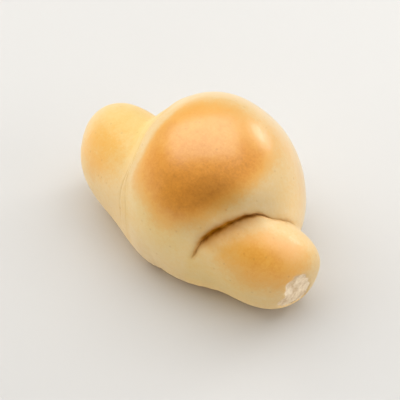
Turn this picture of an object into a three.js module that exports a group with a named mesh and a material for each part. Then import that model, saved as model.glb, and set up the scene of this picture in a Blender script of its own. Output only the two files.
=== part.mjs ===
// Soft rolled bread bun: a strip of dough rolled up on itself, so a round outer turn sits over the
// middle and a blunt end comes out on each side. Both ends lie a little towards the front.
// Millimetres, +Z up, +X along the roll, -Y the front. The flat underside lies on z = 0.

import * as THREE from 'three';
import { mergeVertices } from 'three/addons/utils/BufferGeometryUtils.js';

// Outer turn of dough: a near ball, longer on the right, that sags a little at the lower front
const TURN_X = 2.5;
const TURN_Z = 27;
const TURN_LEFT = 36;
const TURN_RIGHT = 42.5;
const TURN_HALF_WIDTH = 38;
const TURN_UP = 41;
const TURN_DOWN = 36;
const TURN_LEFT_ROUND = 2;
const TURN_RIGHT_ROUND = 1.75;
const TURN_SAG = 1;
const SAG_DROP = 30;
const SAG_REACH = 25;

// Ends of the roll: each runs from a root inside the turn to a blunt tip, and has a fuller lower half
const LEFT_END = {
  side: -1,
  tip: [-60.5, -7.5, 25.5],
  rootY: -13,
  rootZ: 27,
  rootRadius: 23.5,
  tipRadius: 16.5,
  noseLength: 25.5,
  bluntness: 2.35,
  lean: 0,
};
const RIGHT_END = {
  side: 1,
  tip: [60.5, -5.5, 23.5],
  rootY: -12.7,
  rootZ: 24.7,
  rootRadius: 20.8,
  tipRadius: 16.8,
  noseLength: 29.5,
  bluntness: 2.85,
  lean: 0.26,
};
const END_LOWER_STRETCH = 1.5;
const ROOT_START = 8;
const ROOT_FADE = 20;
const LEAN_START = 10;
const LEAN_FADE = 20;

// How far the turn and the ends melt into each other: little on top, more at the lower front
const FUSE_TOP = 2;
const FUSE_FRONT = 9;
const FUSE_REACH = 34;
const FUSE_HEIGHT = 36;
const FUSE_FADE = 32;

// Fold where the turn overhangs the right end, and the small face torn off the right tip
const FOLD_DEPTH = 1.6;
const FOLD_WIDTH = 1.6;
const FOLD_BACK_ANGLE = -60;
const FOLD_BACK_FADE = 40;
const FOLD_FRONT_ANGLE = 92;
const FOLD_FRONT_FADE = 25;
const TORN_NORMAL = new THREE.Vector3(0.95, -0.29, -0.1).normalize();
const TORN_POINT = new THREE.Vector3(59.1, -11.5, 21);

// Underside
const BASE_ROUND = 3;

// Mesh: rings along the roll, with one ring on each fold, and points around each ring
const AROUND = 52;
const END_RINGS = 22;
const TURN_RINGS = 28;
const TIP_CROWDING = 0.6;
const FOLD_CROWDING = 0.08;
const LEFT_FOLD_LIMIT = -10;
const RIGHT_FOLD_LIMIT = 20;
const FOLD_SEARCH = 0.85;
const FARTHEST = 80;
const HALVINGS = 34;

const CRUST_COLOR = 0xdca660;
const CRUST_ROUGHNESS = 0.55;

const clamp01 = (t) => Math.min(Math.max(t, 0), 1);
const mix = (a, b, t) => a + (b - a) * t;
const ease = (t) => clamp01(t) ** 2 * (3 - 2 * clamp01(t));

// Signed gap to the skin of the outer turn, negative inside
function turnGap(x, y, z) {
  const isLeft = x < TURN_X;
  const round = isLeft ? TURN_LEFT_ROUND : TURN_RIGHT_ROUND;
  const along = Math.abs(x - TURN_X) / (isLeft ? TURN_LEFT : TURN_RIGHT);
  const rise = z - TURN_Z;
  const halfWidth = TURN_HALF_WIDTH + TURN_SAG * ease(-rise / SAG_DROP) * ease(-y / SAG_REACH);
  const across = Math.hypot(y / halfWidth, rise / (rise > 0 ? TURN_UP : TURN_DOWN));
  return TURN_HALF_WIDTH * ((along ** round + across ** round) ** (1 / round) - 1);
}

// Signed gap to the skin of one end of the roll
function endGap(end, x, y, z) {
  const reach = Math.abs(end.tip[0] - TURN_X);
  const out = (x - TURN_X) * end.side;
  const share = clamp01(out / reach);
  const centreY = mix(end.rootY, end.tip[1], share ** 2);
  const centreZ = mix(end.rootZ, end.tip[2], share ** 2);
  const nose = clamp01(1 - (reach - out) / end.noseLength);
  const root = clamp01((ROOT_START - out) / ROOT_FADE);
  const cap = (1 - nose ** end.bluntness) ** (1 / end.bluntness) * Math.sqrt(1 - root ** 2);
  const radius = mix(end.rootRadius, end.tipRadius, share ** 1.5) * cap;
  const rise = z - centreZ + end.lean * (y - centreY) * ease((out - LEAN_START) / LEAN_FADE);
  return Math.hypot(y - centreY, rise < 0 ? rise / END_LOWER_STRETCH : rise) - radius;
}

function softUnion(a, b, width) {
  const overlap = Math.max(width - Math.abs(a - b), 0) / width;
  return Math.min(a, b) - (overlap ** 2 * width) / 4;
}

// Signed gap to the skin of the whole bun
function skinGap(x, y, z) {
  const ends = Math.min(endGap(LEFT_END, x, y, z), endGap(RIGHT_END, x, y, z));
  const front = ease(-y / FUSE_REACH) * ease((FUSE_HEIGHT - z) / FUSE_FADE);
  const bun = softUnion(turnGap(x, y, z), ends, mix(FUSE_TOP, FUSE_FRONT, front));
  const torn = new THREE.Vector3(x, y, z).sub(TORN_POINT).dot(TORN_NORMAL);
  return Math.max(bun, torn);
}

// Point at a distance from the line between the tips; angle 0 is up, a quarter turn is the front
function rayPoint(x, angle, distance) {
  const share = (x - LEFT_END.tip[0]) / (RIGHT_END.tip[0] - LEFT_END.tip[0]);
  const y = mix(LEFT_END.tip[1], RIGHT_END.tip[1], share) - distance * Math.sin(angle);
  const z = mix(LEFT_END.tip[2], RIGHT_END.tip[2], share) + distance * Math.cos(angle);
  return [x, y, z];
}

function halve(near, far, isNear) {
  let low = near;
  let high = far;
  for (let i = 0; i < HALVINGS; i += 1) {
    const middle = (low + high) / 2;
    if (isNear(middle)) low = middle;
    else high = middle;
  }
  return (low + high) / 2;
}

const skinDistance = (x, angle) => halve(0, FARTHEST, (d) => skinGap(...rayPoint(x, angle, d)) < 0);

// Place along the roll where the turn meets an end
function foldX(end, angle) {
  const met = halve(TURN_X, end.tip[0] * FOLD_SEARCH, (x) => {
    const point = rayPoint(x, angle, skinDistance(x, angle));
    return turnGap(...point) < endGap(end, ...point);
  });
  return end.side < 0 ? Math.min(met, LEFT_FOLD_LIMIT) : Math.max(met, RIGHT_FOLD_LIMIT);
}

function foldDepth(x, fold, angle) {
  const degrees = THREE.MathUtils.radToDeg(Math.atan2(Math.sin(angle), Math.cos(angle)));
  const back = ease((degrees - FOLD_BACK_ANGLE) / FOLD_BACK_FADE);
  const fade = back * ease((FOLD_FRONT_ANGLE - degrees) / FOLD_FRONT_FADE);
  return FOLD_DEPTH * fade * Math.exp(-(((x - fold) / FOLD_WIDTH) ** 2));
}

// Rings crowd at the tips and at the folds
function ringX(ring, leftFold, rightFold) {
  const fromTip = (t) => t * t * (1 + TIP_CROWDING * (1 - t));
  const fromFold = (t) => t - FOLD_CROWDING * Math.sin(2 * Math.PI * t);
  const turnRing = ring - END_RINGS;
  if (turnRing <= 0) return mix(LEFT_END.tip[0], leftFold, fromTip(ring / END_RINGS));
  if (turnRing < TURN_RINGS) return mix(leftFold, rightFold, fromFold(turnRing / TURN_RINGS));
  return mix(rightFold, RIGHT_END.tip[0], 1 - fromTip(1 - (turnRing - TURN_RINGS) / END_RINGS));
}

// What would hang below the table is pressed flat, with a rounded edge
function pressFlat(z) {
  if (z >= BASE_ROUND) return z;
  if (z <= -BASE_ROUND) return 0;
  return (z + BASE_ROUND) ** 2 / (4 * BASE_ROUND);
}

// The sphere's points come ring by ring, and each ring is laid on the bun
function breadGeometry() {
  const rings = 2 * END_RINGS + TURN_RINGS;
  const grid = new THREE.SphereGeometry(1, AROUND, rings);
  const place = grid.attributes.position;
  const perRing = AROUND + 1;
  const folds = Array.from({ length: perRing }, (_, column) => {
    const angle = Math.PI * (1 + (2 * column) / AROUND);
    return { angle, left: foldX(LEFT_END, angle), right: foldX(RIGHT_END, angle) };
  });
  for (let i = 0; i < place.count; i += 1) {
    const { angle, left, right } = folds[i % perRing];
    const ring = rings - Math.floor(i / perRing);
    const x = ringX(ring, left, right);
    const isTip = ring === 0 || ring === rings;
    const distance = isTip ? 0 : skinDistance(x, angle) - foldDepth(x, right, angle);
    const [, y, z] = rayPoint(x, angle, distance);
    place.setXYZ(i, x, y, pressFlat(z));
  }
  grid.deleteAttribute('normal');
  grid.deleteAttribute('uv');
  const skin = mergeVertices(grid);
  skin.computeVertexNormals();
  return skin;
}

const crust = new THREE.MeshStandardMaterial({
  color: CRUST_COLOR,
  roughness: CRUST_ROUGHNESS,
  metalness: 0,
});

const bread = new THREE.Mesh(breadGeometry(), crust);
bread.name = 'bread';

const part = new THREE.Group();
part.name = 'bread_bun';
part.add(bread);

export default part;
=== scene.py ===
import math

import bpy
import numpy as np
from mathutils import Matrix, Vector, noise


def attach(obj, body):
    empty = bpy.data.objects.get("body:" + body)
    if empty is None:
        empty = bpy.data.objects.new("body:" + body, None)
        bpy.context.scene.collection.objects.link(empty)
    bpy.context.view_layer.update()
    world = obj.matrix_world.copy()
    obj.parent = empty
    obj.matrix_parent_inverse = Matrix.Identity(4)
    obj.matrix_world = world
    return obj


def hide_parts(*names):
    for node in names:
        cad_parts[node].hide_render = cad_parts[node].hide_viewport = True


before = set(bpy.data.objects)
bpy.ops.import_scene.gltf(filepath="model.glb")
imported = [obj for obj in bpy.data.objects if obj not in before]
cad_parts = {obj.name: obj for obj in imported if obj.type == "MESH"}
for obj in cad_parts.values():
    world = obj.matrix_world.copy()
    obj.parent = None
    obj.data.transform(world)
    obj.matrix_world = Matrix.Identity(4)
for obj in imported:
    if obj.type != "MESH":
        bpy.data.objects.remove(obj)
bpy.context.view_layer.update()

mm = 0.001
tiny = 1e-9

# Form of the roll in mm: a round outer turn over the middle and a blunt end on each side
outerTurn = {
    "x": 2.5, "z": 27, "left": 36, "right": 42.5, "halfWidth": 38, "up": 41, "down": 36,
    "leftRound": 2, "rightRound": 1.75,  # 2 is an ellipse, and less is more pointed
    "sag": 1, "sagDrop": 30, "sagReach": 25,  # the lower front bulges a little
}
leftEnd = {
    "side": -1, "tip": (-60.5, -7.5, 25.5), "rootY": -13, "rootZ": 27,
    "rootRadius": 23.5, "tipRadius": 16.5, "noseLength": 25.5, "bluntness": 2.35,
    "lean": 0, "foldLimit": -10,
}
rightEnd = {
    "side": 1, "tip": (60.5, -5.5, 23.5), "rootY": -12.7, "rootZ": 24.7,
    "rootRadius": 20.8, "tipRadius": 16.8, "noseLength": 29.5, "bluntness": 2.85,
    "lean": 0.26, "foldLimit": 20,
}
doughJoin = {
    "bend": 2, "taper": 1.5, "lowerStretch": 1.5,  # how the ends run from root to tip
    "rootStart": 8, "rootFade": 20, "leanStart": 10, "leanFade": 20,
    "fuseTop": 2, "fuseFront": 9, "fuseReach": 34, "fuseHeight": 36, "fuseFade": 32,
    "baseRound": 3,
}

# The skin is a grid of rows from the left tip to the right one
skinGrid = {
    "around": 288, "endRings": 108, "turnRings": 126,
    "tipPower": 2.6, "tipCrowding": 2.2, "foldCrowding": 0.11,
    "farthest": 80.0, "foldSearch": 0.85, "halvings": 30,  # search limits for the skin and the folds
}
leftRow = skinGrid["endRings"]  # lies on the upper dough edge at the left
rightRow = leftRow + skinGrid["turnRings"]  # lies in the dark crease at the right
blurDegrees = (-4, -2, 0, 2, 4)


def mix(start, end, share):
    return start + (end - start) * share


def ease(share):
    share = np.clip(share, 0, 1)
    return share * share * (3 - 2 * share)


def bell(away):
    return np.exp(-away * away)


def unit(vectors):
    return vectors / np.maximum(np.linalg.norm(vectors, axis=-1, keepdims=True), tiny)


# Signed gap in mm to the skin of the outer turn, negative inside
def turnGap(x, y, z):
    isLeft = x < outerTurn["x"]
    power = np.where(isLeft, outerTurn["leftRound"], outerTurn["rightRound"])
    along = np.abs(x - outerTurn["x"]) / np.where(isLeft, outerTurn["left"], outerTurn["right"])
    rise = z - outerTurn["z"]
    sag = outerTurn["sag"] * ease(-rise / outerTurn["sagDrop"]) * ease(-y / outerTurn["sagReach"])
    tall = np.where(rise > 0, outerTurn["up"], outerTurn["down"])
    across = np.hypot(y / (outerTurn["halfWidth"] + sag), rise / tall)
    return outerTurn["halfWidth"] * ((along ** power + across ** power) ** (1 / power) - 1)


# Signed gap to the skin of one end of the roll
def endGap(end, x, y, z):
    reach = abs(end["tip"][0] - outerTurn["x"])
    out = (x - outerTurn["x"]) * end["side"]
    share = np.clip(out / reach, 0, 1)
    centreY = mix(end["rootY"], end["tip"][1], share ** doughJoin["bend"])
    centreZ = mix(end["rootZ"], end["tip"][2], share ** doughJoin["bend"])
    nose = np.clip(1 - (reach - out) / end["noseLength"], 0, 1)
    root = np.clip((doughJoin["rootStart"] - out) / doughJoin["rootFade"], 0, 1)
    cap = (1 - nose ** end["bluntness"]) ** (1 / end["bluntness"]) * np.sqrt(1 - root ** 2)
    radius = mix(end["rootRadius"], end["tipRadius"], share ** doughJoin["taper"]) * cap
    lean = end["lean"] * ease((out - doughJoin["leanStart"]) / doughJoin["leanFade"])
    rise = z - centreZ + lean * (y - centreY)
    rise = np.where(rise < 0, rise / doughJoin["lowerStretch"], rise)
    return np.hypot(y - centreY, rise) - radius


# Signed gap to the whole roll: the parts melt together more at the lower front than on top
def skinGap(x, y, z):
    ends = np.minimum(endGap(leftEnd, x, y, z), endGap(rightEnd, x, y, z))
    turn = turnGap(x, y, z)
    front = ease(-y / doughJoin["fuseReach"])
    front = front * ease((doughJoin["fuseHeight"] - z) / doughJoin["fuseFade"])
    width = mix(doughJoin["fuseTop"], doughJoin["fuseFront"], front)
    overlap = np.maximum(width - np.abs(turn - ends), 0) / width
    return np.minimum(turn, ends) - overlap ** 2 * width / 4  # a quarter keeps the join smooth


# Point at a distance from the line between the tips; angle 0 is up, a quarter turn is the front
def rayPoint(x, angle, distance):
    share = (x - leftEnd["tip"][0]) / (rightEnd["tip"][0] - leftEnd["tip"][0])
    y = mix(leftEnd["tip"][1], rightEnd["tip"][1], share) - distance * np.sin(angle)
    z = mix(leftEnd["tip"][2], rightEnd["tip"][2], share) + distance * np.cos(angle)
    return x, y, z


def halve(near, far, isNear):
    for _ in range(skinGrid["halvings"]):
        middle = (near + far) / 2
        inside = isNear(middle)
        near = np.where(inside, middle, near)
        far = np.where(inside, far, middle)
    return (near + far) / 2


def skinDistance(x, angle):
    farthest = np.full(np.shape(x), skinGrid["farthest"])
    return halve(farthest * 0, farthest, lambda away: skinGap(*rayPoint(x, angle, away)) < 0)


# Place along the roll where the outer turn meets an end, for each angle
def foldLine(end, angle):
    def onTurn(x):
        point = rayPoint(x, angle, skinDistance(x, angle))
        return turnGap(*point) < endGap(end, *point)
    start = np.full(angle.shape, float(outerTurn["x"]))
    met = halve(start, np.full(angle.shape, end["tip"][0] * skinGrid["foldSearch"]), onTurn)
    return np.minimum(met, end["foldLimit"]) if end["side"] < 0 else np.maximum(met, end["foldLimit"])


# Rows of points along the roll, crowded at the tips and at both folds
def ringPlaces(leftFold, rightFold):
    step = np.linspace(0, 1, skinGrid["endRings"] + 1)[:, None]
    fromTip = step ** skinGrid["tipPower"] * (1 + skinGrid["tipCrowding"] * (1 - step))
    left = mix(leftEnd["tip"][0], leftFold, fromTip)
    right = mix(rightEnd["tip"][0], rightFold, fromTip)[::-1]
    step = np.linspace(0, 1, skinGrid["turnRings"] + 1)[1:-1, None]
    crowded = step - skinGrid["foldCrowding"] * np.sin(2 * math.pi * step)
    return np.concatenate([left, mix(leftFold, rightFold, crowded), right])


def gridNormals(grid):
    along = np.gradient(grid, axis=0)
    around = np.roll(grid, -1, 1) - np.roll(grid, 1, 1)
    return unit(np.cross(around, along))


# Length in mm along each column from one of its rows, negative before the row
def lengthFrom(grid, row):
    steps = np.linalg.norm(np.diff(grid, axis=0), axis=-1)
    length = np.concatenate([np.zeros((1, grid.shape[1])), np.cumsum(steps, 0)])
    return length - length[row]


# Smooth lumps of one height and size; the seed picks the pattern
def lumps(points, kind):
    places = points.reshape(-1, 3) / kind["size"] + kind["seed"]
    heights = np.array([noise.noise(place) for place in places.tolist()])
    return kind["height"] * heights.reshape(points.shape[:-1])


def pressFlat(z):
    soft = doughJoin["baseRound"]
    return np.where(z > soft, z, np.where(z < -soft, 0, (z + soft) ** 2 / (4 * soft)))


# Value at each angle from a few pairs of degrees and value, smoothed a little
def byAngle(pairs, degrees):
    places, values = zip(*pairs)
    return sum(np.interp(degrees + blur, places, values) for blur in blurDegrees) / len(blurDegrees)


# Unevenness of a bun shaped by hand, in mm
crustRelief = {
    "broad": {"height": 0.2, "size": 16, "seed": 3.1},
    "skin": {"height": 0.05, "size": 2.2, "seed": 7.7},
    "rim": {"height": 0.35, "size": 1.6, "seed": 5.3}, "rimZ": 1, "rimReach": 2.5,  # around the base
    "swells": (
        {"at": (-50, -3, 41), "size": 11, "rise": 1.3},
        {"at": (-55, -19, 31), "size": 7, "rise": -0.6},
        {"at": (-45, -28, 22), "size": 9, "rise": 0.6},
        {"at": (54, 4, 29), "size": 12, "rise": 0.9},
        {"at": (49, -18, 7), "size": 11, "rise": 1.2},
        {"at": (6, 28, 54), "size": 11, "rise": -0.9},
        {"at": (-12, 15, 61), "size": 10, "rise": 0.6},
        {"at": (-22, 1, 57), "size": 8, "rise": -0.5},
        {"at": (36, -5, 46), "size": 4, "rise": -0.3},
    ),
}


def unevenness(grid):
    relief = crustRelief
    rise = lumps(grid, relief["broad"]) + lumps(grid, relief["skin"])
    rise += bell((grid[..., 2] - relief["rimZ"]) / relief["rimReach"]) * lumps(grid, relief["rim"])
    for swell in relief["swells"]:
        away = np.linalg.norm(grid - np.array(swell["at"]), axis=-1)
        rise += swell["rise"] * bell(away / swell["size"])
    return rise


# Dark crease where the turn presses on the right end; pairs are degrees around the roll and mm or share
rightCrease = {
    "drift": (
        (-90, 0), (-60, -0.2), (-24, -0.6), (-12, -0.4), (0, -0.7), (7, -1.6), (12, -1.4),
        (18, -1.2), (24, -0.6), (30, -0.1), (36, 0.95), (42, 1.65), (48, 1.5), (54, 1.65),
        (60, 1.8), (66, 1.5), (72, 1.6), (78, 1.8), (82, 1), (85, 0),
    ),
    "waver": {"height": 0.3, "size": 6, "seed": 4.4},  # mm along the roll, by degrees around it
    "opening": (
        (-48, 0), (-35, 0.12), (2, 0.12), (8, 0.35), (12, 0.6), (16, 0.75), (30, 0.88),
        (45, 1), (60, 1), (66, 0.6), (71, 0.25), (77, 0.25), (79, 0.35), (83, 0),
    ),
    "openingWaver": {"height": 0.25, "size": 3.5, "seed": 6.6}, "openingMost": 1.2,
    "depth": 3.5, "shutDepth": 0.15, "under": 1, "slitGrowth": 6,  # under is how far it leans
    "turnSide": 1.15, "shutWidth": 0.3, "floorHalf": 0.35, "outRows": 6,
    "endSide": (
        (2, 1), (8, 1.4), (14, 1.9), (20, 2.3), (26, 2.7), (30, 3.3), (36, 4.2), (45, 4.2),
        (66, 3.5), (80, 2),
    ),
    "fray": {"height": 0.35, "size": 1.8, "seed": 3.6},
    "crumbs": {"height": 0.5, "size": 1.4, "seed": 9.4},
    "lip": ((12, 0), (24, 0.1), (36, 0.6), (60, 0.6), (72, 0.2), (84, 0)), "lipBack": 3, "lipWidth": 2.5,
    "shoulder": ((-60, 0), (-40, 0.2), (-20, 0.4), (0, 0.8), (8, 1.4), (20, 1), (30, 0.2), (36, 0)),
    "shoulderStart": 1.2, "shoulderReach": 5,
    # how far the crease's caramel spreads: partly browned crust, partly painted shade
    "brownAndShadeTurn": ((12, 1.4), (24, 2), (40, 2), (54, 1.3)), "brownAndShadeEnd": 1.5, "brownAndShadeLeast": 0.1,
    "brownAndShadeCore": 1.6, "coreReach": 0.9,
}


# The crease is a cusp that leans under the turn, steep at the turn and sloping at the end
def creaseShift(grid, normal, degrees):
    fold = rightCrease
    past = lengthFrom(grid, rightRow)
    opening = byAngle(fold["opening"], degrees) * (1 + lumps(grid[rightRow], fold["openingWaver"]))
    opening = np.clip(opening, 0, fold["openingMost"])
    along = unit(np.gradient(grid, axis=0)[rightRow])
    out = unit(normal[rightRow - fold["outRows"]] + normal[rightRow + fold["outRows"]])

    width = np.where(past < 0, fold["turnSide"], byAngle(fold["endSide"], degrees))
    width = width * mix(fold["shutWidth"], 1, opening)
    frayed = past + opening * lumps(grid, fold["fray"])
    off = np.maximum(np.abs(frayed) - fold["floorHalf"] * opening, 0)
    slit = np.exp(-off / width) * np.minimum(opening * fold["slitGrowth"], 1)

    lip = byAngle(fold["lip"], degrees) * bell((past + fold["lipBack"]) / fold["lipWidth"])
    shoulder = byAngle(fold["shoulder"], degrees) * ease(past / fold["shoulderStart"])
    shoulder = shoulder * np.exp(-np.abs(past) / fold["shoulderReach"])
    ragged = opening * slit * lumps(grid, fold["crumbs"])
    outward = lip + shoulder + ragged - fold["depth"] * mix(fold["shutDepth"], 1, opening) * slit
    sideways = -fold["under"] * opening * slit

    # the crease's caramel is partly browned crust and partly painted shade, darkest in the slit's core
    turnReach = byAngle(fold["brownAndShadeTurn"], degrees) * np.sqrt(opening)
    reach = np.where(past < 0, turnReach, fold["brownAndShadeEnd"] * width)
    halo = np.exp(-off / np.maximum(reach, fold["brownAndShadeLeast"]))
    core = np.minimum(fold["brownAndShadeCore"] * np.exp(-off / fold["coreReach"]), 1)
    brownAndShade = np.maximum(halo, core) * np.minimum(np.sqrt(opening), 1)
    return out * outward[..., None] + along * sideways[..., None], brownAndShade


# Two thin edges of dough lie nearly flush on the left, each a small step with a groove at its foot
leftEdges = {
    "drift": (
        (-150, 0), (-60, 8), (0, 9.5), (15, 7.5), (34, 7), (45, 3.9), (55, 1.5), (65, 0.7),
        (77, 0.2), (110, 0.6), (150, 0),
    ),
    "lower": ((-30, -1), (34, -1.6), (45, -2.3), (52, -1.8), (62, -3.5), (71, -4.8), (110, -5)),
    "start": -40, "startFade": 30, "end": 104, "endFade": 22,  # degrees around the roll
    "step": 0.55, "stepWidth": 0.6, "stepFade": 5, "groove": 0.45, "grooveWidth": 0.45,
}


def leftEdgeRise(grid, degrees):
    edges = leftEdges
    pastUpper = lengthFrom(grid, leftRow)
    pastLower = pastUpper - byAngle(edges["lower"], degrees)
    rise = np.zeros(pastUpper.shape)
    for past in (pastLower, pastUpper):
        fade = np.exp(-np.maximum(past, 0) / edges["stepFade"])
        rise += edges["step"] * ease(past / edges["stepWidth"]) * fade
        rise -= edges["groove"] * bell(past / edges["grooveWidth"])
    rise *= ease((degrees - edges["start"]) / edges["startFade"])
    return rise * ease((edges["end"] - degrees) / edges["endFade"])


# Small face torn off the right tip, with rough crumb below a ragged edge of crust
tornFace = {
    "point": (59.2, -9.6, 17.8), "normal": (0.97, -0.22, -0.1),
    "ragged": {"height": 0.25, "size": 3.5, "seed": 11.9},
    "peelAt": (61.8, -11.6, 10.2), "peelReach": 8.1,  # crust peeled off below the face
    "sink": 1, "sinkFade": 0.6, "crumbFrom": 0.5, "stretch": (1, 1, 0.5),
    "crumb": {"height": 0.45, "size": 3, "seed": 2.3},
    "fineCrumb": {"height": 0.12, "size": 0.9, "seed": 8.1},
}


def tearShift(grid):
    face = tornFace
    normal = unit(np.array(face["normal"]))
    past = (grid - np.array(face["point"])) @ normal + lumps(grid, face["ragged"])
    peeled = face["peelReach"] - np.linalg.norm(grid - np.array(face["peelAt"]), axis=-1)
    torn = ease(np.maximum(past, peeled) / face["sinkFade"] + 0.5)  # half way on the edge itself
    drawn = grid * np.array(face["stretch"])
    rough = lumps(drawn, face["crumb"]) + lumps(drawn, face["fineCrumb"])
    depth = np.maximum(past, 0) + torn * (face["sink"] - rough)
    return -normal * depth[..., None], torn


# Each patch gives its whole share around its middle and fades out over a soft edge
def patchShare(grid, patches):
    total = 0
    for patch in patches:
        away = np.linalg.norm((grid - np.array(patch["at"])) / np.array(patch["reach"]), axis=-1)
        total = total + patch["share"] * (1 - ease((away - 1 + patch["soft"]) / (2 * patch["soft"])))
    return total


# Where the oven browned the crust, from 0 to 1: most on the front of the turn, least beside the folds
browning = {
    "allOver": 0.14,
    "heatFrom": (0.18, -0.42, 0.88), "start": 0.56, "full": 0.87, "turn": 0.45,
    "paleRight": {"toward": (-0.72, -0.09, 0.69), "from": 9.9, "fade": 13.9},  # pale above the crease
    "leftLip": ((5, 5.5), (20, 4), (45, 1.2), (90, 0.8)), "leftLipFade": 4.5, "turnEdgeFade": 2,
    "rightFold": ((0, 16), (14, 17), (24, 13), (50, 10)), "rightFoldStart": 1, "leftEndFade": 1,
    "anywhere": (
        {"at": (0, -4, -6), "reach": (60, 40, 8), "soft": 0.12, "share": 0.4},  # underside
        {"at": (34, 19, 43), "reach": (16, 10, 16), "soft": 0.8, "share": 0.1},  # right flank
    ),
    "onTurn": (
        {"at": (15, -15, 52.3), "reach": (24, 25, 10.3), "soft": 0.95, "share": 0.38},  # front
        {"at": (27, 8, 56), "reach": (13, 13, 9), "soft": 0.8, "share": 0.1},  # right of the crown
        {"at": (16.5, -33, 38), "reach": (11, 8, 8), "soft": 0.95, "share": 0.17},  # lower front
    ),
    "onLeft": (
        {"at": (-36, -22.5, 37.2), "reach": (12.5, 10.5, 11), "soft": 0.8, "share": 0.31},
    ),
    "onRight": (
        {"at": (50.5, -19.2, 36.6), "reach": (18.8, 14, 13), "soft": 0.75, "share": 0.5},
        {"at": (59.5, -6, 31.5), "reach": (5, 7, 5), "soft": 0.8, "share": 0.04},  # tip
    ),
}


# How far each point is on the left end and on the right end, from 0 to 1
def endShares(grid, degrees):
    onLeft = ease(1 - lengthFrom(grid, leftRow) / browning["leftEndFade"])
    pastFold = lengthFrom(grid, rightRow) - browning["rightFoldStart"]
    return onLeft, ease(pastFold / byAngle(browning["rightFold"], degrees))


def brownedShare(grid, normal, degrees):
    facing = normal @ np.array(browning["heatFrom"])
    heat = ease((facing - browning["start"]) / (browning["full"] - browning["start"]))
    pastLip = lengthFrom(grid, leftRow) - byAngle(browning["leftLip"], degrees)
    pale = browning["paleRight"]
    onTurn = ease(pastLip / browning["leftLipFade"])
    onTurn *= ease(-lengthFrom(grid, rightRow) / browning["turnEdgeFade"])
    onTurn *= ease((grid @ np.array(pale["toward"]) - pale["from"]) / pale["fade"])
    onLeft, onRight = endShares(grid, degrees)
    share = browning["allOver"] + patchShare(grid, browning["anywhere"])
    share += onTurn * (browning["turn"] * heat + patchShare(grid, browning["onTurn"]))
    share += onLeft * patchShare(grid, browning["onLeft"])
    return share + onRight * patchShare(grid, browning["onRight"])


# Yellower butter tones, a painted peach highlight on top of the right end, and where the glaze shines
crustTints = {
    "leftButter": (
        {"at": (-33, -12, 50), "reach": (18, 16, 14), "soft": 0.8, "share": 0.8},
    ),
    "butter": (
        {"at": (36, -32, 16), "reach": (30, 12, 16), "soft": 0.8, "share": 0.5},  # low front
        {"at": (6, -34, 37), "reach": (15, 9, 13), "soft": 0.8, "share": 0.6},  # front of the turn
        {"at": (50, -22, 35), "reach": (11, 8, 9), "soft": 0.8, "share": 0.2},  # right end
    ),
    # painted peach highlight on top of the right end
    "paintedHighlight": (
        {"at": (50, -7.5, 40), "reach": (11, 7, 7), "soft": 0.8, "share": 0.2},
    ),
    "endGlaze": 0.35, "glazeFade": 4,
}


def tintShares(grid, degrees):
    tints = crustTints
    onLeft, onRight = endShares(grid, degrees)
    butter = onLeft * patchShare(grid, tints["leftButter"]) + patchShare(grid, tints["butter"])
    paintedHighlight = onRight * patchShare(grid, tints["paintedHighlight"])
    onTurn = ease(lengthFrom(grid, leftRow) / tints["glazeFade"])
    onTurn *= ease(-lengthFrom(grid, rightRow) / tints["glazeFade"])
    return butter, paintedHighlight, mix(tints["endGlaze"], 1, onTurn)


# Painted light and shade scaled into the crust's colour, beside 1 for none: painted shade along the fold,
# painted light low down and in a few soft patches
paintedLightAndShade = {
    # painted shade beside the fold on either side, with a little painted light where the share is above 0
    "turnSide": (
        (-34, 0.15), (-24, 0.05), (-12, -0.06), (0, -0.17), (12, -0.12), (18, -0.08), (27, -0.03), (38, 0),
    ),
    "endSide": ((8, 0), (18, -0.15), (24, -0.2), (30, -0.2), (36, -0.12), (44, -0.06), (52, 0)),
    "turnReach": 13, "endReach": 9, "hem": 0.42, "hemHeight": 16,
    # painted light where a share is above 0, and painted shade where it is below
    "patches": (
        {"at": (50, -11.5, 39), "reach": (13, 12, 10), "soft": 0.8, "share": 0.15},  # right end
        {"at": (21, -30, 43), "reach": (10, 7, 7), "soft": 0.8, "share": -0.12},  # foot of the crown
        {"at": (24.5, -19, 53), "reach": (10, 8, 5.5), "soft": 0.8, "share": -0.24},  # its right side
        {"at": (18, -12, 61), "reach": (17, 14, 8), "soft": 0.8, "share": 0.12},  # its middle
        {"at": (2, -33, 46), "reach": (9, 9, 9), "soft": 0.8, "share": -0.05},  # left of the turn
    ),
}


def paintLightAndShade(grid, degrees):
    past = lengthFrom(grid, rightRow)
    onTurn = byAngle(paintedLightAndShade["turnSide"], degrees) * bell(past / paintedLightAndShade["turnReach"])
    onEnd = byAngle(paintedLightAndShade["endSide"], degrees) * bell(past / paintedLightAndShade["endReach"])
    # painted light along the base
    hem = paintedLightAndShade["hem"] * ease(1 - grid[..., 2] / paintedLightAndShade["hemHeight"])
    return 1 + np.where(past < 0, onTurn, onEnd) + hem + patchShare(grid, paintedLightAndShade["patches"])


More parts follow.
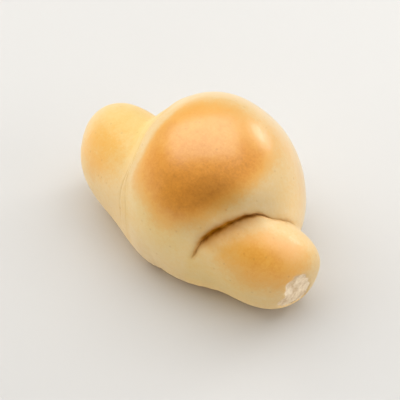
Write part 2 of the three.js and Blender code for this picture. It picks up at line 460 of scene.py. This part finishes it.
# Points of the finished skin in mm, and the weights that its materials read
def breadGrid():
    angle = math.pi * (1 + 2 * np.arange(skinGrid["around"]) / skinGrid["around"])
    degrees = np.degrees(np.arctan2(np.sin(angle), np.cos(angle)))
    circle = np.degrees(np.stack([np.sin(angle), np.cos(angle), 0 * angle], -1))
    rightLine = foldLine(rightEnd, angle) + byAngle(rightCrease["drift"], degrees)
    rightLine += lumps(circle, rightCrease["waver"])
    leftLine = foldLine(leftEnd, angle) + byAngle(leftEdges["drift"], degrees)
    x = ringPlaces(leftLine, rightLine)
    angles = np.broadcast_to(angle, x.shape)
    distance = skinDistance(x, angles)
    distance[0] = distance[-1] = 0
    grid = np.stack(rayPoint(x, angles, distance), -1)
    normal = gridNormals(grid)

    # the weights follow the plain form, and the relief is added after
    brown = brownedShare(grid, normal, degrees)
    butter, paintedHighlight, glaze = tintShares(grid, degrees)
    # painted light and shade, carried into the crust's colour
    paintedShading = paintLightAndShade(grid, degrees)
    shift, brownAndShade = creaseShift(grid, normal, degrees)
    rise = leftEdgeRise(grid, degrees) + unevenness(grid)
    shift[0] = shift[-1] = 0
    rise[0] = rise[-1] = 0
    grid = grid + shift + normal * rise[..., None]
    tear, torn = tearShift(grid)
    grid = grid + tear
    grid[..., 2] = pressFlat(grid[..., 2])
    return grid, {
        "crease": brownAndShade, "torn": torn, "browning": brown, "butter": butter,
        "paintedLightAndShade": paintedShading, "glaze": glaze, "paintedHighlight": paintedHighlight,
    }


def addObject(name, data):
    item = bpy.data.objects.new(name, data)
    bpy.context.scene.collection.objects.link(item)
    return item


# Closed mesh from the grid: its first and last rows are the two tips
def skinMesh(name, grid, weights):
    rows, columns = grid.shape[:2]
    body = grid[1:-1].reshape(-1, 3)
    verts = np.concatenate([grid[:1, 0], body, grid[-1:, 0]]) * mm
    at = 1 + np.arange((rows - 2) * columns).reshape(rows - 2, columns)
    nextAt = np.roll(at, -1, 1)
    quads = np.stack([at[:-1], nextAt[:-1], nextAt[1:], at[1:]], -1).reshape(-1, 4)
    faces = quads.tolist()
    faces += [(0, b, a) for a, b in zip(at[0].tolist(), nextAt[0].tolist())]
    faces += [(len(verts) - 1, a, b) for a, b in zip(at[-1].tolist(), nextAt[-1].tolist())]
    mesh = bpy.data.meshes.new(name)
    mesh.from_pydata(verts.tolist(), [], faces)
    mesh.polygons.foreach_set("use_smooth", [True] * len(mesh.polygons))
    for key, values in weights.items():
        flat = np.concatenate([values[:1, 0], values[1:-1].reshape(-1), values[-1:, 0]])
        mesh.attributes.new(key, "FLOAT", "POINT").data.foreach_set("value", flat.astype(np.float32))
    mesh.update()
    return addObject(name, mesh)


def linear(hexColor):
    channels = [int(hexColor[i:i + 2], 16) / 255 for i in (1, 3, 5)]
    return [c / 12.92 if c <= 0.04045 else ((c + 0.055) / 1.055) ** 2.4 for c in channels] + [1]


# Adds one node; a socket in inputs is linked, and any other value is set
def addNode(tree, kind, settings=None, inputs=None):
    node = tree.nodes.new(kind)
    for key, value in (settings or {}).items():
        setattr(node, key, value)
    for key, value in (inputs or {}).items():
        if isinstance(value, bpy.types.NodeSocket):
            tree.links.new(value, node.inputs[key])
        else:
            node.inputs[key].default_value = value
    return node


def newMaterial(name):
    material = bpy.data.materials.new(name)
    material.use_nodes = True
    material.node_tree.nodes.clear()
    return material, material.node_tree


# Soft wheat crust, oven baked: pale cream where shaded, golden to brown on top, with a satin skin
wheatCrust = {
    "tones": (
        (0.0, "#d8be8f"), (0.2, "#d8b67c"), (0.4, "#d9a75c"),
        (0.6, "#da9e48"), (0.8, "#d18c34"), (1.0, "#b97628"),
    ),
    # the crease colour is partly browned crust and partly painted shade of the slit
    "creaseColor": "#b07000", "speckColor": "#a5682c", "butterTint": "#ffffd7", "paintedHighlightColor": "#dcbfb0",
    "mottle": ((9, 0.2), (2.5, 0.24), (0.9, 0.28)), "mottleDetail": 3,  # mm and share of the browning
    "speckSpacing": 4.5, "speckSize": 0.65, "speck": 0.38,
    "paleRoughness": 0.6, "brownRoughness": 0.4, "paleAt": 0.1, "brownAt": 0.7,
    "ior": 1.54, "skinGloss": 0.3,  # dry starch
    "dimpleSize": 1.3, "dimpleDepth": 0.08, "dimpleDetail": 4, "dimpleRoughness": 0.6,
    "sheen": 0.08, "sheenRoughness": 0.2, "sheenColor": "#fff3dc",
    "glazeRoughness": 0.3, "glazeIor": 1.6,
}


def bakedCrust():
    look = wheatCrust
    material, tree = newMaterial("bakedWheatCrust")
    place = addNode(tree, "ShaderNodeTexCoord").outputs["Object"]
    weight = {}
    for name in ("browning", "crease", "butter", "paintedLightAndShade", "glaze", "paintedHighlight"):
        weight[name] = addNode(tree, "ShaderNodeAttribute", {"attribute_name": name}).outputs["Fac"]

    # uneven browning in clouds of a few mm, and a grain drawn coarser than the real one so that it shows
    browned = weight["browning"]
    for size, amount in look["mottle"]:
        cloud = addNode(tree, "ShaderNodeTexNoise", inputs={
            "Vector": place, "Scale": 1 / (size * mm), "Detail": look["mottleDetail"],
        })
        spread = addNode(tree, "ShaderNodeMath", {"operation": "MULTIPLY_ADD"}, {
            0: cloud.outputs["Fac"], 1: amount, 2: -amount / 2,
        })
        browned = addNode(tree, "ShaderNodeMath", {"operation": "ADD"}, {
            0: browned, 1: spread.outputs[0],
        }).outputs[0]
    ramp = addNode(tree, "ShaderNodeValToRGB", inputs={"Fac": browned})
    stops = ramp.color_ramp.elements
    for index, (stop, tone) in enumerate(look["tones"]):
        element = stops[index] if index < 2 else stops.new(stop)  # a new ramp has two stops
        element.position, element.color = stop, linear(tone)

    # sparse darker specks
    cells = addNode(tree, "ShaderNodeTexVoronoi", inputs={
        "Vector": place, "Scale": 1 / (look["speckSpacing"] * mm),
    })
    speck = addNode(tree, "ShaderNodeMapRange", inputs={
        "Value": cells.outputs["Distance"],
        "From Min": 0.0, "From Max": look["speckSize"] / look["speckSpacing"],
        "To Min": look["speck"], "To Max": 0.0,
    })

    # tints over the browning; a colour mix has its share in socket 0 and its colours in 6 and 7
    color = ramp.outputs["Color"]
    for share, blend, tint in (
        (speck.outputs[0], "MIX", "speckColor"),
        # painted peach highlight
        (weight["paintedHighlight"], "MIX", "paintedHighlightColor"),
        (weight["butter"], "MULTIPLY", "butterTint"),
        # caramel in the crease: partly browned crust, partly painted shade
        (weight["crease"], "MIX", "creaseColor"),
    ):
        color = addNode(tree, "ShaderNodeMix", {"data_type": "RGBA", "blend_type": blend}, {
            0: share, 6: color, 7: linear(look[tint]),
        }).outputs[2]
    # painted light and shade: the colour is scaled by the painted weight
    color = addNode(tree, "ShaderNodeVectorMath", {"operation": "SCALE"}, {
        0: color, "Scale": weight["paintedLightAndShade"],
    })

    # browned crust is smoother than pale dough, and the crease has no glaze
    rough = addNode(tree, "ShaderNodeMapRange", inputs={
        "Value": browned, "From Min": look["paleAt"], "From Max": look["brownAt"],
        "To Min": look["paleRoughness"], "To Max": look["brownRoughness"],
    })
    glaze = addNode(tree, "ShaderNodeMath", {"operation": "SUBTRACT", "use_clamp": True}, {
        0: weight["glaze"], 1: weight["crease"],
    })

    # pores of the skin, drawn coarser than the real ones so that they show
    dimples = addNode(tree, "ShaderNodeTexNoise", inputs={
        "Vector": place, "Scale": 1 / (look["dimpleSize"] * mm),
        "Detail": look["dimpleDetail"], "Roughness": look["dimpleRoughness"],
    })
    bump = addNode(tree, "ShaderNodeBump", inputs={
        "Height": dimples.outputs["Fac"], "Distance": look["dimpleDepth"] * mm, "Strength": 1.0,
    })
    shader = addNode(tree, "ShaderNodeBsdfPrincipled", inputs={
        "Base Color": color.outputs[0], "Roughness": rough.outputs[0], "Normal": bump.outputs[0],
        "IOR": look["ior"], "Specular IOR Level": look["skinGloss"],
        "Sheen Weight": look["sheen"], "Sheen Roughness": look["sheenRoughness"],
        "Sheen Tint": linear(look["sheenColor"]), "Coat Weight": glaze.outputs[0],
        "Coat Roughness": look["glazeRoughness"], "Coat IOR": look["glazeIor"],
    })
    addNode(tree, "ShaderNodeOutputMaterial", inputs={"Surface": shader.outputs[0]})
    return material


# White wheat crumb, torn open: off-white, dry and matt, with shallow pores
wheatCrumb = {
    "pale": "#f6e3c6", "shade": "#ceb08a", "shadeFrom": 0.52, "paleFrom": 0.82,
    "streakSize": 3.2, "streakStretch": (1, 1, 0.45), "streakDetail": 2,
    "poreSize": 0.9, "pores": 0.35, "poreDepth": 0.15, "poreDetail": 3, "poreRoughness": 0.6,
    "roughness": 0.85, "ior": 1.45,
}


def tornCrumb():
    look = wheatCrumb
    material, tree = newMaterial("tornWheatCrumb")
    place = addNode(tree, "ShaderNodeTexCoord").outputs["Object"]
    drawn = addNode(tree, "ShaderNodeVectorMath", {"operation": "MULTIPLY"}, {
        0: place, 1: look["streakStretch"],
    })
    streaks = addNode(tree, "ShaderNodeTexNoise", inputs={
        "Vector": drawn.outputs[0], "Scale": 1 / (look["streakSize"] * mm), "Detail": look["streakDetail"],
    })
    pores = addNode(tree, "ShaderNodeTexNoise", inputs={
        "Vector": place, "Scale": 1 / (look["poreSize"] * mm),
        "Detail": look["poreDetail"], "Roughness": look["poreRoughness"],
    })
    both = addNode(tree, "ShaderNodeMath", {"operation": "MULTIPLY_ADD"}, {
        0: pores.outputs["Fac"], 1: look["pores"], 2: streaks.outputs["Fac"],
    })
    spread = addNode(tree, "ShaderNodeMapRange", inputs={
        "Value": both.outputs[0], "From Min": look["shadeFrom"], "From Max": look["paleFrom"],
    })
    color = addNode(tree, "ShaderNodeMix", {"data_type": "RGBA"}, {
        0: spread.outputs[0], 6: linear(look["shade"]), 7: linear(look["pale"]),
    })
    bump = addNode(tree, "ShaderNodeBump", inputs={
        "Height": pores.outputs["Fac"], "Distance": look["poreDepth"] * mm, "Strength": 1.0,
    })
    shader = addNode(tree, "ShaderNodeBsdfPrincipled", inputs={
        "Base Color": color.outputs[2], "Roughness": look["roughness"], "IOR": look["ior"],
        "Normal": bump.outputs[0],
    })
    addNode(tree, "ShaderNodeOutputMaterial", inputs={"Surface": shader.outputs[0]})
    return material


# Pale studio paper, uncoated: even and dull, so that only the soft shadow shows on it
studioPaper = {"color": "#cbc9c5", "roughness": 0.8, "half": 6000}


def plainPaper():
    material, tree = newMaterial("uncoatedPaper")
    shader = addNode(tree, "ShaderNodeBsdfPrincipled", inputs={
        "Base Color": linear(studioPaper["color"]), "Roughness": studioPaper["roughness"],
    })
    addNode(tree, "ShaderNodeOutputMaterial", inputs={"Surface": shader.outputs[0]})
    return material


def addFloor():
    half = studioPaper["half"] * mm
    corners = [(-half, -half, 0), (half, -half, 0), (half, half, 0), (-half, half, 0)]
    mesh = bpy.data.meshes.new("studioFloor")
    mesh.from_pydata(corners, [], [(0, 1, 2, 3)])
    mesh.materials.append(plainPaper())
    floor = addObject("studioFloor", mesh)


# The photo's view: degrees, and mm but for the lens
cameraView = {
    "aim": (3.7, -8.2, 27.1), "azimuth": 44.8, "elevation": 47, "distance": 612,
    "lens": 135, "sensor": 36, "nearest": 10,
}


def addCamera():
    turn, lift = math.radians(cameraView["azimuth"]), math.radians(cameraView["elevation"])
    back = Vector((math.sin(turn) * math.cos(lift), -math.cos(turn) * math.cos(lift), math.sin(lift)))
    data = bpy.data.cameras.new("photoCamera")
    data.lens = cameraView["lens"]
    data.sensor_width = cameraView["sensor"]
    data.clip_start = cameraView["nearest"] * mm
    camera = addObject("photoCamera", data)
    camera.location = (Vector(cameraView["aim"]) + back * cameraView["distance"]) * mm
    camera.rotation_euler = back.to_track_quat("Z", "Y").to_euler()
    bpy.context.scene.camera = camera


# Soft boxes: where each one stands, how far away, its width and height in mm, and watts
# The glossy ones show as highlights on the crust, and the others only fill the shade
softBoxes = {
    "overhead": {
        "toward": (-0.28, 0.06, 0.95), "away": 800, "size": (1300, 940), "watts": 8.75, "glossy": True},
    "rightTopPanel": {
        "toward": (0.4, -0.05, 0.92), "away": 900, "size": (900, 700), "watts": 0.8, "glossy": False},
    "backWindow": {
        "toward": (0.13, 0.9, 0.4), "away": 900, "size": (240, 95), "watts": 1.05, "glossy": True},
    "backHighPanel": {
        "toward": (0.1, 0.75, 0.65), "away": 1000, "size": (900, 400), "watts": 2.2, "glossy": False},
    "backLowPanel": {
        "toward": (0.1, 0.98, 0.14), "away": 3000, "size": (2700, 1200), "watts": 25.2, "glossy": False},
    "leftPanel": {
        "toward": (-0.8, -0.58, 0.12), "away": 3000, "size": (3600, 1200), "watts": 89, "glossy": False},
    "leftBackPanel": {
        "toward": (-0.85, 0.35, 0.4), "away": 3000, "size": (3000, 2100), "watts": 27, "glossy": False},
    "rightPanel": {
        "toward": (0.85, 0.3, 0.45), "away": 3000, "size": (2400, 1500), "watts": 28.8, "glossy": False},
    "rightFrontFill": {
        "toward": (0.8, -0.58, 0.1), "away": 3000, "size": (2700, 900), "watts": 34.5, "glossy": False},
}
boxMiddle = (0, 0, 30)  # the point in mm that the soft boxes face
steepBox = 0.9  # a box higher than this is turned to the camera's left and right


def addLights():
    turn = math.radians(cameraView["azimuth"])
    up, across = Vector((0, 0, 1)), Vector((math.cos(turn), math.sin(turn), 0))
    for name, box in softBoxes.items():
        data = bpy.data.lights.new(name, "AREA")
        data.shape = "RECTANGLE"
        data.size, data.size_y = box["size"][0] * mm, box["size"][1] * mm
        data.energy = box["watts"]
        lamp = addObject(name, data)
        lamp.visible_glossy = box["glossy"]
        toward = Vector(box["toward"]).normalized()
        side = across if toward.z > steepBox else up.cross(toward)
        side = (side - toward * side.dot(toward)).normalized()
        place = (Vector(boxMiddle) + toward * box["away"]) * mm
        facing = Matrix((side, toward.cross(side), toward)).transposed()
        lamp.matrix_world = Matrix.LocRotScale(place, facing, None)
    world = bpy.data.worlds.new("studioRoom")
    world.use_nodes = True
    world.node_tree.nodes["Background"].inputs["Strength"].default_value = 0  # a dark room
    bpy.context.scene.world = world


addCamera()
addLights()
addFloor()
bpy.context.scene.view_settings.view_transform = "Standard"
print("camera, lights and floor are in place")

grid, weights = breadGrid()
bread = skinMesh("breadRoll", grid, weights)
bread.data.materials.append(bakedCrust())
bread.data.materials.append(tornCrumb())
torn = np.zeros(len(bread.data.vertices), np.float32)
bread.data.attributes["torn"].data.foreach_get("value", torn)
for face in bread.data.polygons:
    face.material_index = int(torn[face.vertices[0]] > tornFace["crumbFrom"])
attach(bread, "root")
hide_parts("bread")
print("bread skin:", len(bread.data.polygons), "faces")
